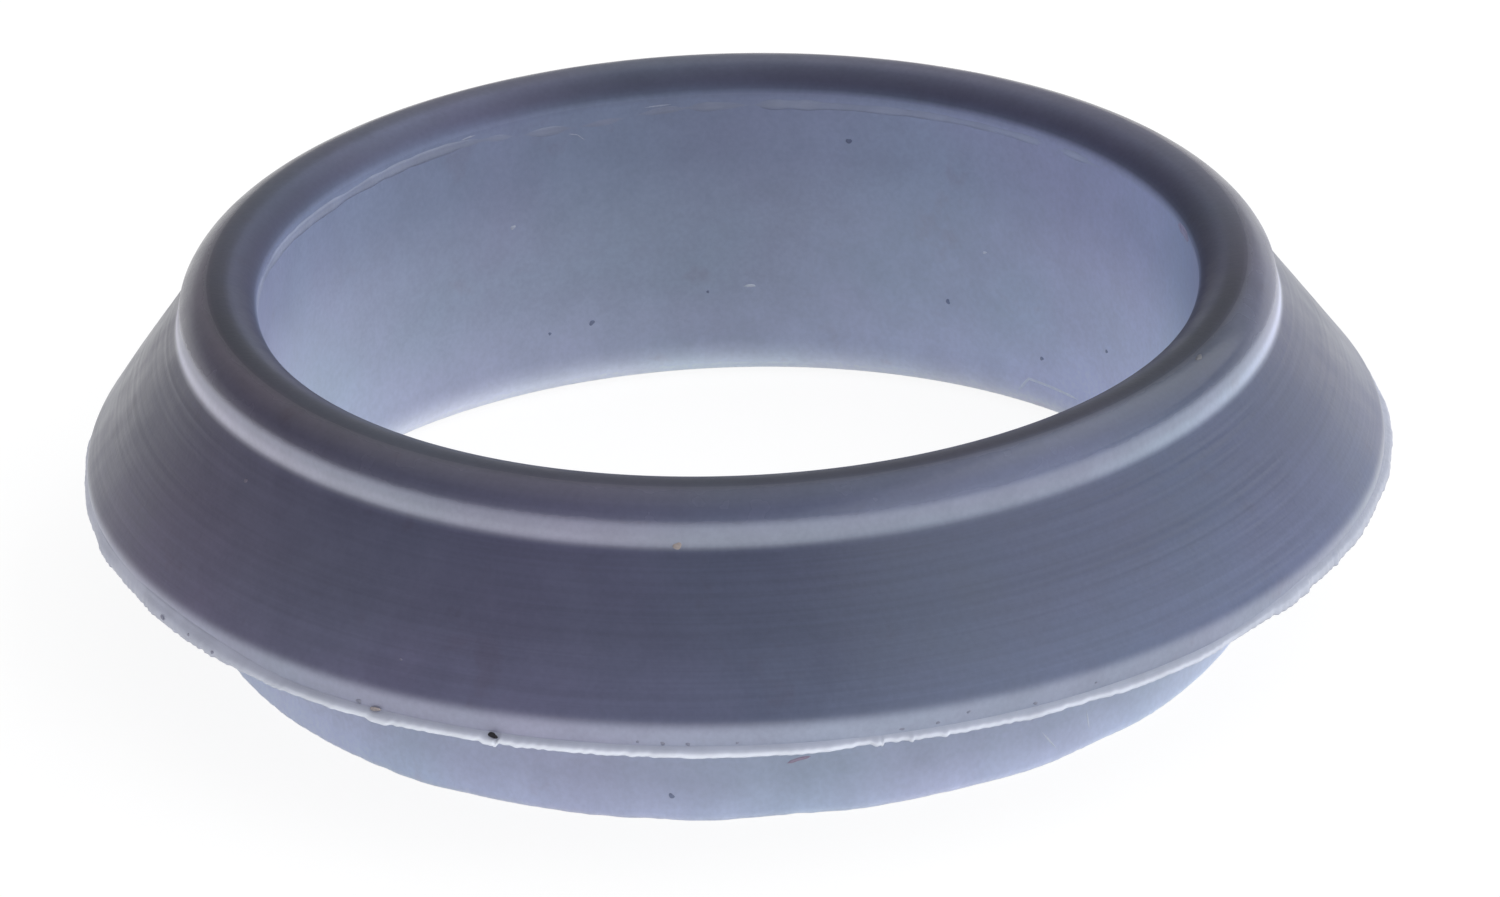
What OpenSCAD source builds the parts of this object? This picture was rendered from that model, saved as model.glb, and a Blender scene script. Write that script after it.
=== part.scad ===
// Moulded rubber ring that seals an exhaust gas recirculation tube in its port.
// One piece, turned about the vertical axis. The origin is the centre of the flat bottom face.
// From the top down: crowned rim, short neck, sealing cone, upright lip with a parting-line ridge,
// and a narrower collar with rounded bottom edges. A straight bore for the tube runs through it all.

/* [Bore] */
// Diameter of the bore, which grips the tube
bore_d = 19; // [12:0.5:40]

/* [Rim and neck] */
// Width of the rim, from the bore to the outside of the neck
rim_w = 1.56; // [1.4:0.02:3]
// Height of the rounded crown on top of the rim
crown_h = 0.52; // [0.2:0.02:0.7]
// Height of the upright neck between the cone and the crown
neck_h = 0.5; // [0.2:0.05:1.5]
// How much the neck widens towards its foot
neck_draft = 0.1; // [0:0.05:0.3]

/* [Sealing cone] */
// Height of the cone
cone_h = 2.85; // [1:0.05:8]
// How far the foot of the cone stands out beyond the foot of the neck
cone_out = 1.9; // [0.8:0.05:5]

/* [Lip] */
// Height of the upright lip below the cone
lip_h = 0.5; // [0.3:0.05:2]
// How far the parting-line ridge stands out from the lip
ridge_out = 0.2; // [0.05:0.05:0.4]
// Thickness of the parting-line ridge at the lower edge of the lip
ridge_t = 0.1; // [0.05:0.05:0.2]

/* [Collar] */
// Height of the collar below the lip
collar_h = 2.7; // [1.2:0.05:6]
// Wall of the collar, from the bore outwards
collar_wall = 1.3; // [1.2:0.05:2.1]
// Radius of the rounded edge that leads the tube into the bore
lead_in_r = 0.7; // [0.1:0.05:0.75]
// Radius of the rounded edge around the outside of the collar
collar_edge_r = 0.15; // [0.1:0.05:0.4]

/* [Hidden] */
// Fineness of every round surface
$fn = 180;

bore_r = bore_d / 2;
neck_r = bore_r + rim_w;
neck_foot_r = neck_r + neck_draft;
lip_r = neck_foot_r + cone_out;
collar_r = bore_r + collar_wall;

cone_foot_z = collar_h + lip_h;
cone_top_z = cone_foot_z + cone_h;
neck_top_z = cone_top_z + neck_h;
// Radius of the arc that spans the rim and rises by the crown's height
crown_r = (pow(rim_w / 2, 2) + pow(crown_h, 2)) / (2 * crown_h);

// Rectangle in the half section, given by two opposite corners as [radius, height]
module block(a, b) {
    translate([min(a[0], b[0]), min(a[1], b[1])]) square([abs(b[0] - a[0]), abs(b[1] - a[1])]);
}

// Quarter of a disc below its centre: side is 1 for the outer quarter and -1 for the inner one
module quarter_round(centre, r, side) {
    intersection() {
        translate(centre) circle(r = r);
        block(centre, centre + [side * 2 * r, -2 * r]);
    }
}

// Lip, sealing cone and neck
module head_section() {
    polygon([
        [bore_r, collar_h],
        [lip_r, collar_h],
        [lip_r, cone_foot_z],
        [neck_foot_r, cone_top_z],
        [neck_r, neck_top_z],
        [bore_r, neck_top_z]
    ]);
}

// Arched top of the rim, whose ends stand on the bore's edge and on the neck's edge
module crown_section() {
    middle = bore_r + rim_w / 2;
    intersection() {
        translate([middle, neck_top_z + crown_h - crown_r]) circle(r = crown_r);
        block([middle - rim_w, neck_top_z], [middle + rim_w, neck_top_z + rim_w]);
    }
}

// Thin ridge that the mould leaves along the lower edge of the lip
module ridge_section() {
    block([lip_r, collar_h], [lip_r + ridge_out, collar_h + ridge_t]);
}

// Collar, with the lead-in rounded on the inside and the edge rounded on the outside
module collar_section() {
    lead_in = [bore_r + lead_in_r, lead_in_r];
    outer_edge = [collar_r - collar_edge_r, collar_edge_r];
    block([lead_in[0], 0], [outer_edge[0], collar_h]);
    block([bore_r, lead_in[1]], [lead_in[0], collar_h]);
    block([outer_edge[0], outer_edge[1]], [collar_r, collar_h]);
    quarter_round(lead_in, lead_in_r, -1);
    quarter_round(outer_edge, collar_edge_r, 1);
}

// The whole moulded ring
module gasket_ring() {
    color([0.40, 0.43, 0.52])
    rotate_extrude() {
        head_section();
        crown_section();
        ridge_section();
        collar_section();
    }
}

gasket_ring();
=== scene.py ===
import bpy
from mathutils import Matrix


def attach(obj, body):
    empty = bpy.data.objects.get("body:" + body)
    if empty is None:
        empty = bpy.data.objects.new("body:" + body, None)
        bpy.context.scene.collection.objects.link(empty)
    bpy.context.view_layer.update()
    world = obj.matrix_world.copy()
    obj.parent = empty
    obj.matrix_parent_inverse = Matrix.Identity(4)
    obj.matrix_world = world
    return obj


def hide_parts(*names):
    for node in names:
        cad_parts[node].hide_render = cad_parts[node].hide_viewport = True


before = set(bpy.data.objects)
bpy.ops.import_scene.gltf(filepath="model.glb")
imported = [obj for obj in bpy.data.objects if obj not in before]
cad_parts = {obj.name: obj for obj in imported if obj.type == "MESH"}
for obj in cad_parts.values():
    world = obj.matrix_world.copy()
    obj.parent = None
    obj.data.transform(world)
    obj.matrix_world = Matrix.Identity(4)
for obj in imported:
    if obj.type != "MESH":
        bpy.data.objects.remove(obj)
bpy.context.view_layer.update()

"""One moulded rubber gasket for an exhaust gas tube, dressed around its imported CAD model.

Sizes are in millimetres until they reach a mesh, where they become metres. The ring stands on the
floor with its axis upright at the origin. Azimuth is counted in degrees from the front of the ring,
which faces the camera, and grows towards its right side.
"""

import logging
import math
from collections.abc import Iterable
from dataclasses import dataclass
from enum import Enum

import bpy
import numpy as np
from mathutils import Matrix, Vector

MM = 0.001
BODY = "root"
CAD_NODE = "gasket_ring"

# The lip's drift off the axis in millimetres, which fades out from one radius to the other
LIP_DRIFT = (0.10, 0.03)
DRIFT_FROM, DRIFT_TO = 11.16, 13.06
# The rim's own drift, and how far it is out of round, which fade out from one height to the other
RIM_DRIFT = (0.045, 0.02)
RIM_STRETCH = (-0.0042, 0.0075)
STRETCH_FROM, STRETCH_TO = 3.8, 6.2
# How many waves a noise around the ring adds up at most
MOST_WAVES = 60
# White with full cover, as a node takes it
WHITE = (1.0, 1.0, 1.0, 1.0)
# How far the light and the hue of the skin are softened around the ring, in degrees
LIGHT_BLUR, HUE_BLUR = 5.0, 8.0

Pair = tuple[float, float]
Waves = tuple[int, int]
Curve = tuple[Pair, ...]
Triple = tuple[float, float, float]
Rgb = Triple
Inputs = dict[str | int, object]
Link = bpy.types.NodeSocket
# One point of a swept section: its radius and height all around the ring, and how pale it is
Row = tuple[np.ndarray | float, np.ndarray | float, float]
# One small closed body: its points, its faces by point number and the tones of its points
Body = tuple[np.ndarray, list[list[int]], np.ndarray]

logging.basicConfig(level=logging.INFO, format="%(message)s")
log = logging.getLogger("gasket")


class Zone(Enum):
    """The stretches of the moulded section, in the order in which its outline is walked."""

    LAND = "land"
    COLLAR_EDGE = "collar edge"
    COLLAR = "collar"
    UNDERSIDE = "underside"
    LIP_HEEL = "lip heel"
    LIP = "lip"
    LIP_BROW = "lip brow"
    CONE = "cone"
    NECK_FOOT = "neck foot"
    NECK = "neck"
    CROWN = "outer flank of the crown"
    CREST = "crest of the crown"
    CROWN_IN = "inner flank of the crown"
    BORE = "bore"
    LEAD_IN = "lead-in"


def linear(colour: Rgb) -> np.ndarray:
    """Turns a display colour of 0 to 255 into linear light of 0 to 1, with the numbers of sRGB."""
    c = np.asarray(colour, float) / 255
    return np.where(c <= 0.04045, c / 12.92, ((c + 0.055) / 1.055) ** 2.4)


def smooth(x: np.ndarray, low: float, high: float) -> np.ndarray:
    """Rises softly from 0 where x is low to 1 where it is high."""
    t = np.clip((np.asarray(x, float) - low) / (high - low), 0, 1)
    return t * t * (3 - 2 * t)


def ring_noise(azimuth: np.ndarray, waves: Waves, seed: int) -> np.ndarray:
    """Seeded noise that closes on itself around the ring.

    Args:
        azimuth: Angles in radians.
        waves: Fewest and most waves in one turn.
        seed: Seed of the random draws.

    Returns:
        Noise with a spread of about 1.
    """
    rng = np.random.default_rng(seed)
    counts = np.arange(waves[0], waves[1] + 1)
    if len(counts) > MOST_WAVES:
        counts = np.unique(np.geomspace(waves[0], waves[1], MOST_WAVES).astype(int))
    phases = rng.uniform(0, 2 * math.pi, len(counts))
    weights = rng.normal(0, 1, len(counts))
    total = np.cos(np.outer(azimuth, counts) + phases) @ weights
    return total / math.sqrt(len(counts) / 2)


def on_ring(radius: np.ndarray, azimuth: np.ndarray, height: np.ndarray) -> np.ndarray:
    """Places points that are given around the ring's axis.

    The lip sits a little off centre, and the rim is a little out of round.

    Args:
        radius: Distance from the axis in millimetres.
        azimuth: Angle from the front in radians.
        height: Height over the floor in millimetres.

    Returns:
        The points in metres, with x, y and z last.
    """
    lip = np.clip((radius - DRIFT_FROM) / (DRIFT_TO - DRIFT_FROM), 0, 1)
    rim = smooth(height, STRETCH_FROM, STRETCH_TO)
    x = radius * np.sin(azimuth) * (1 + rim * RIM_STRETCH[0]) + lip * LIP_DRIFT[0] + rim * RIM_DRIFT[0]
    y = -radius * np.cos(azimuth) * (1 + rim * RIM_STRETCH[1]) + lip * LIP_DRIFT[1] + rim * RIM_DRIFT[1]
    return np.stack([x, y, height + 0 * azimuth], -1) * MM


def full_turn(count: int) -> np.ndarray:
    """Evenly spaced angles of one whole turn, in radians."""
    return np.linspace(0, 2 * math.pi, count, endpoint=False)


def wrapped(angle: np.ndarray) -> np.ndarray:
    """Angles in degrees brought between -180 and 180."""
    return (angle + 180) % 360 - 180


def degrees_round(azimuth: np.ndarray) -> np.ndarray:
    """Angles in degrees from -180 to 180 for angles in radians."""
    return wrapped(np.degrees(azimuth))


@dataclass(frozen=True)
class RoundTable:
    """Values at a few places around the ring, joined by a soft curve.

    Attributes:
        places: Azimuth in degrees and value of each place, from -180 to 180.
        blur: How far the curve is softened, in degrees.
        reach: How many blurs to each side the softening looks.
        readings: How many values it takes there.
    """

    places: Curve
    blur: float = 1.5
    reach: float = 2.0
    readings: int = 9

    def at(self, azimuth: np.ndarray) -> np.ndarray:
        """Reads the curve.

        Args:
            azimuth: Angles in radians.

        Returns:
            The value at each angle.
        """
        table = np.array(self.places)
        total = 0
        steps = np.linspace(-self.reach, self.reach, self.readings)
        weights = np.exp(-steps ** 2 / 2)
        for step, weight in zip(steps, weights / weights.sum()):
            angle = wrapped(degrees_round(azimuth) + step * self.blur)
            total = total + weight * np.interp(angle, table[:, 0], table[:, 1])
        return total


@dataclass(frozen=True)
class Station:
    """One point of the section's outline, with its radius and height in millimetres and its stretch."""

    radius: float
    height: float
    zone: Zone


@dataclass(frozen=True)
class RunPoints:
    """How many points each run of the section's outline has."""

    collar_edge: int = 9
    collar: int = 8
    collar_root: int = 5
    underside: int = 6
    lip_heel: int = 5
    lip: int = 5
    lip_brow: int = 13
    cone: int = 72
    neck_root: int = 6
    neck: int = 9
    neck_top: int = 4
    crown: int = 9
    crest: int = 6
    bore_corner: int = 6
    bore: int = 14
    throat: int = 4
    lead_in: int = 11
    # How many points of the neck's root still look like the cone, and of the neck like its foot
    root_as_cone: int = 4
    neck_as_foot: int = 3


@dataclass(frozen=True)
class RingSection:
    """The ring's cross-section. Sizes are in millimetres and section angles in degrees."""

    bore_r: float = 9.5
    rim_width: float = 1.56
    crown_r: float = 0.845
    shoulder_z: float = 6.55
    neck_height: float = 0.5
    neck_draft: float = 0.1
    cone_foot_z: float = 3.25
    lip_r: float = 13.12
    lip_bottom_z: float = 2.7
    collar_r: float = 10.8
    collar_edge_r: float = 0.15
    lead_in_r: float = 0.7
    collar_root_r: float = 0.08
    lip_heel_r: float = 0.05
    lip_brow_r: float = 0.5
    neck_root_r: float = 0.35
    neck_top_r: float = 0.45
    bore_corner_r: float = 0.05
    # How far each straight run stops short of the roundings at its start and its end
    collar_gaps: Pair = (0.05, 0.12)
    underside_gaps: Pair = (0.3, 0.1)
    lip_gaps: Pair = (0.09, 0.03)
    bore_gaps: Pair = (0.12, 0.4)
    throat_gaps: Pair = (0.3, 0.03)
    # Section angles of the edge below the collar, the lead-in and the crown's crest
    collar_edge_turn: Pair = (-80, -1)
    lead_in_turn: Pair = (180, 265)
    crest: Pair = (76, 104)
    # How far the crown's flanks stay off the neck, the crest and the bore, and where its tones start
    neck_gap: float = 4.5
    crest_gap: float = 3
    bore_gap: float = 2.5
    crown_from: float = 27.0
    # How far around the crown the roundings beside it aim
    aim_turn: float = 2
    points: RunPoints = RunPoints()

    @property
    def rim_middle(self) -> float:
        """Radius of the crown's highest line."""
        return self.bore_r + self.rim_width / 2

    @property
    def crown_centre_z(self) -> float:
        """Height of the centre of the crown's arc."""
        return self.shoulder_z - math.sqrt(self.crown_r ** 2 - (self.rim_width / 2) ** 2)

    @property
    def neck_top(self) -> tuple[float, float]:
        """Radius and height where the crown meets the neck."""
        return self.bore_r + self.rim_width, self.shoulder_z

    @property
    def neck_foot(self) -> tuple[float, float]:
        """Radius and height where the neck meets the cone."""
        radius, height = self.neck_top
        return radius + self.neck_draft, height - self.neck_height

    @staticmethod
    def arc(centre: Pair, radius: float, turn: Pair, count: int) -> np.ndarray:
        """Points along a circular arc about a centre, from a first to a last angle in degrees."""
        t = np.radians(np.linspace(turn[0], turn[1], count))
        return np.stack([centre[0] + radius * np.cos(t), centre[1] + radius * np.sin(t)], 1)

    def crown_arc(self, turn: Pair, count: int) -> np.ndarray:
        """Points along the crown from one section angle to another."""
        return self.arc((self.rim_middle, self.crown_centre_z), self.crown_r, turn, count)

    @staticmethod
    def wall(radius: float, heights: Pair, count: int) -> np.ndarray:
        """Evenly spaced points straight up or down at one radius."""
        return np.linspace((radius, heights[0]), (radius, heights[1]), count)

    @staticmethod
    def fillet(
        before: np.ndarray, corner: np.ndarray, after: np.ndarray, radius: float, count: int
    ) -> np.ndarray:
        """Rounds one corner of the outline.

        Args:
            before: A point on the line that comes in.
            corner: The sharp corner.
            after: A point on the line that goes out.
            radius: Radius of the rounding.
            count: How many points.

        Returns:
            One row of radius and height for each point.
        """
        a = (before - corner) / np.linalg.norm(before - corner)
        b = (after - corner) / np.linalg.norm(after - corner)
        half = math.acos(float(np.clip(a @ b, -1, 1))) / 2
        reach = radius / math.tan(half)
        middle = corner + (a + b) / np.linalg.norm(a + b) * radius / math.sin(half)
        start, end = corner + a * reach - middle, corner + b * reach - middle
        first = math.atan2(start[1], start[0])
        sweep = (math.atan2(end[1], end[0]) - first + math.pi) % (2 * math.pi) - math.pi
        t = first + sweep * np.linspace(0, 1, count)
        return middle + radius * np.stack([np.cos(t), np.sin(t)], 1)

    def outline(self) -> list[Station]:
        """Walks the whole closed outline, out along the bottom, up the outside and down the bore.

        Returns:
            The stations in order. The last one joins the first.
        """
        n = self.points
        bore, collar, lip, bottom = self.bore_r, self.collar_r, self.lip_r, self.lip_bottom_z
        neck_top, neck_foot = np.array(self.neck_top), np.array(self.neck_foot)
        corners = (lip, self.cone_foot_z), (lip, bottom), (collar, bottom)
        cone_foot, heel, root = (np.array(corner) for corner in corners)
        edge_r = self.collar_edge_r
        edge_x, wall_z = collar - edge_r, edge_r + self.collar_gaps[0]
        shoulder = math.degrees(math.asin((self.shoulder_z - self.crown_centre_z) / self.crown_r))
        crown_out = self.crown_arc((shoulder, shoulder + self.aim_turn), 2)[1]
        crown_in = self.crown_arc((180 - self.aim_turn - shoulder, 180 - shoulder), 2)[0]
        corner_in, down = np.array([bore, self.shoulder_z]), np.array([bore, self.lead_in_r])
        brow = self.fillet(heel, cone_foot, neck_foot, self.lip_brow_r, n.lip_brow)
        foot = self.fillet(cone_foot, neck_foot, neck_top, self.neck_root_r, n.neck_root)
        top = self.fillet(neck_foot, neck_top, crown_out, self.neck_top_r, n.neck_top)
        neck = np.linspace(foot[-1], top[0], n.neck)[1:-1]
        cone = np.linspace(brow[-1], foot[0], n.cone)[1:-1]
        flank_out = (shoulder + self.neck_gap, self.crest[0] - self.crest_gap)
        flank_in = (self.crest[1] + self.crest_gap, 180 - self.bore_gap - shoulder)
        lead_in_middle = (bore + self.lead_in_r, self.lead_in_r)
        lip_z = (bottom + self.lip_gaps[0], brow[0][1] - self.lip_gaps[1])
        bore_z = (self.shoulder_z - self.bore_gaps[0], self.lead_in_r + self.bore_gaps[1])
        throat_z = (self.lead_in_r + self.throat_gaps[0], self.lead_in_r + self.throat_gaps[1])
        under = self.fillet(np.array([collar, 0]), root, heel, self.collar_root_r, n.collar_root)
        below = ((collar + self.underside_gaps[0], bottom), (lip - self.underside_gaps[1], bottom))
        runs: list[tuple[Zone, np.ndarray]] = [
            (Zone.LAND, np.array([[bore + self.lead_in_r, 0], [edge_x, 0]])),
            (Zone.COLLAR_EDGE, self.arc((edge_x, edge_r), edge_r, self.collar_edge_turn, n.collar_edge)),
            (Zone.COLLAR, self.wall(collar, (wall_z, bottom - self.collar_gaps[1]), n.collar)),
            (Zone.UNDERSIDE, under),
            (Zone.UNDERSIDE, np.linspace(*below, n.underside)),
            (Zone.LIP_HEEL, self.fillet(root, heel, cone_foot, self.lip_heel_r, n.lip_heel)),
            (Zone.LIP, self.wall(lip, lip_z, n.lip)),
            (Zone.LIP_BROW, brow),
            (Zone.CONE, np.concatenate([cone, foot[:n.root_as_cone]])),
            (Zone.NECK_FOOT, np.concatenate([foot[n.root_as_cone:], neck[:n.neck_as_foot]])),
            (Zone.NECK, np.concatenate([neck[n.neck_as_foot:], top[:1]])),
            (Zone.CROWN, top[1:]),
            (Zone.CROWN, self.crown_arc(flank_out, n.crown)),
            (Zone.CREST, self.crown_arc(self.crest, n.crest)),
            (Zone.CROWN_IN, self.crown_arc(flank_in, n.crown)),
            (Zone.BORE, self.fillet(crown_in, corner_in, down, self.bore_corner_r, n.bore_corner)),
            (Zone.BORE, self.wall(bore, bore_z, n.bore)),
            (Zone.LEAD_IN, self.wall(bore, throat_z, n.throat)),
            (Zone.LEAD_IN, self.arc(lead_in_middle, self.lead_in_r, self.lead_in_turn, n.lead_in)),
        ]
        return [Station(float(r), float(z), zone) for zone, points in runs for r, z in points]

    def span(self, zone: Zone) -> Pair:
        """Finds where a zone starts and ends.

        Args:
            zone: The stretch to look on.

        Returns:
            The two heights in millimetres, or the two section angles on the crown.
        """
        if zone is Zone.CROWN:
            return self.crown_from, self.crest[0]
        heights = [station.height for station in self.outline() if station.zone is zone]
        return heights[0], heights[-1]

    def surface(self, zone: Zone, height: float) -> tuple[np.ndarray, np.ndarray]:
        """Finds where a zone lies at one height, or at one section angle on the crown.

        Args:
            zone: The stretch to look on.
            height: Height in millimetres, or degrees around the arc on the crown.

        Returns:
            The point as radius and height, and the unit direction in which the outline runs there.
        """
        if zone is Zone.CROWN:
            t = math.radians(height)
            out = np.array([math.cos(t), math.sin(t)])
            point = np.array([self.rim_middle, self.crown_centre_z]) + self.crown_r * out
            return point, np.array([-out[1], out[0]])
        if zone is Zone.BORE and height < self.lead_in_r:
            away = self.lead_in_r - height
            inward = math.sqrt(self.lead_in_r ** 2 - away ** 2)
            point = np.array([self.bore_r + self.lead_in_r - inward, height])
            return point, np.array([away, -inward]) / self.lead_in_r
        ends = {
            Zone.COLLAR: ((self.collar_r, self.collar_edge_r), (self.collar_r, self.lip_bottom_z)),
            Zone.LIP: ((self.lip_r, self.lip_bottom_z), (self.lip_r, self.cone_foot_z)),
            Zone.CONE: ((self.lip_r, self.cone_foot_z), self.neck_foot),
            Zone.NECK: (self.neck_foot, self.neck_top),
            Zone.BORE: ((self.bore_r, self.shoulder_z), (self.bore_r, self.lead_in_r)),
        }
        foot, top = (np.array(end) for end in ends[zone])
        share = (height - foot[1]) / (top[1] - foot[1])
        return foot + share * (top - foot), (top - foot) / np.linalg.norm(top - foot)


@dataclass(frozen=True)
class Mottle:
    """A noise that is eased from one range of values to another.

    Attributes:
        scale: How fine it is, in waves for each millimetre.
        detail: How many finer layers it has.
        edges: Between which of its values the easing runs.
        swing: Which values come out of that.
        roughness: How strong its finer layers are, from 0 to 1.
    """

    scale: float
    detail: float
    edges: Pair = (0.3, 0.7)
    swing: Pair = (0.0, 1.0)
    roughness: float = 0.5


@dataclass
class NodeBoard:
    """A node tree with short calls to add and join nodes."""

    tree: bpy.types.NodeTree

    def add(self, kind: str, inputs: Inputs | None = None, **settings: object) -> bpy.types.Node:
        """Adds one node.

        Args:
            kind: Blender's name of the node's type.
            inputs: Values or sockets by input name or number.
            **settings: Properties of the node itself.

        Returns:
            The new node.
        """
        node = self.tree.nodes.new(kind)
        for name, value in settings.items():
            setattr(node, name, value)
        for name, value in (inputs or {}).items():
            if isinstance(value, Link):
                self.tree.links.new(value, node.inputs[name])
            else:
                node.inputs[name].default_value = value
        return node

    def sum(self, operation: str, *values: object) -> Link:
        """Adds a maths node and returns its result."""
        return self.add("ShaderNodeMath", dict(enumerate(values)), operation=operation).outputs[0]

    def ease(self, value: Link, edges: Pair, swing: Pair = (0.0, 1.0)) -> Link:
        """Maps a value softly from one range to another."""
        inputs = dict(zip(("Value", "From Min", "From Max", "To Min", "To Max"), (value, *edges, *swing)))
        return self.add("ShaderNodeMapRange", inputs, interpolation_type="SMOOTHSTEP").outputs["Result"]

    def blend(self, share: object, first: object, second: object, mode: str = "MIX") -> Link:
        """Mixes two colours and returns the result."""
        inputs = {0: share, 6: first, 7: second}
        return self.add("ShaderNodeMix", inputs, data_type="RGBA", blend_type=mode).outputs[2]

    def noise(self, vector: Link, scale: float, detail: float, roughness: float = 0.5) -> Link:
        """Adds a noise texture and returns its value."""
        inputs = {"Vector": vector, "Scale": scale, "Detail": detail, "Roughness": roughness}
        return self.add("ShaderNodeTexNoise", inputs).outputs[0]

    def mottle(self, vector: Link, look: Mottle) -> Link:
        """Adds a noise that is eased, and returns its value."""
        return self.ease(self.noise(vector, look.scale, look.detail, look.roughness), look.edges, look.swing)

    def millimetres(self) -> Link:
        """Adds the object's own coordinates in millimetres."""
        place = self.add("ShaderNodeTexCoord").outputs["Object"]
        return self.add("ShaderNodeVectorMath", {0: place, 1: (1 / MM,) * 3}, operation="MULTIPLY").outputs[0]

    def carried(self, name: str, output: str = "Fac") -> Link:
        """Adds what the mesh's points carry under a name."""
        return self.add("ShaderNodeAttribute", attribute_name=name).outputs[output]

    def shaded(self, colour: Link, value: Link) -> Link:
        """Makes a colour lighter or darker by one value."""
        grey = self.add("ShaderNodeCombineColor", {0: value, 1: value, 2: value}).outputs[0]
        return self.blend(1.0, colour, grey, "MULTIPLY")

    def bump(self, height: Link, depth: float, below: dict[str, Link] | None = None) -> Link:
        """Raises the surface by a value, over what is in below, and returns its direction."""
        inputs = {"Height": height, "Distance": depth * MM, **(below or {})}
        return self.add("ShaderNodeBump", inputs).outputs[0]

    def surface(self, inputs: Inputs) -> None:
        """Ends a material with a surface shader that has these inputs."""
        shader = self.add("ShaderNodeBsdfPrincipled", inputs).outputs[0]
        self.add("ShaderNodeOutputMaterial", {"Surface": shader})


def fresh_board(owner: bpy.types.Material | bpy.types.World) -> NodeBoard:
    """Turns nodes on in a material or world, and clears them.

    Args:
        owner: The material or world.

    Returns:
        Its empty board of nodes.
    """
    owner.use_nodes = True
    owner.node_tree.nodes.clear()
    return NodeBoard(owner.node_tree)


def new_material(name: str) -> tuple[bpy.types.Material, NodeBoard]:
    """Makes a node material, and gives it with its empty board of nodes."""
    material = bpy.data.materials.new(name)
    return material, fresh_board(material)


def rgba(colour: Rgb) -> tuple[float, float, float, float]:
    """Display colour as a node's linear colour with full cover."""
    return (*linear(colour).tolist(), 1.0)


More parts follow.
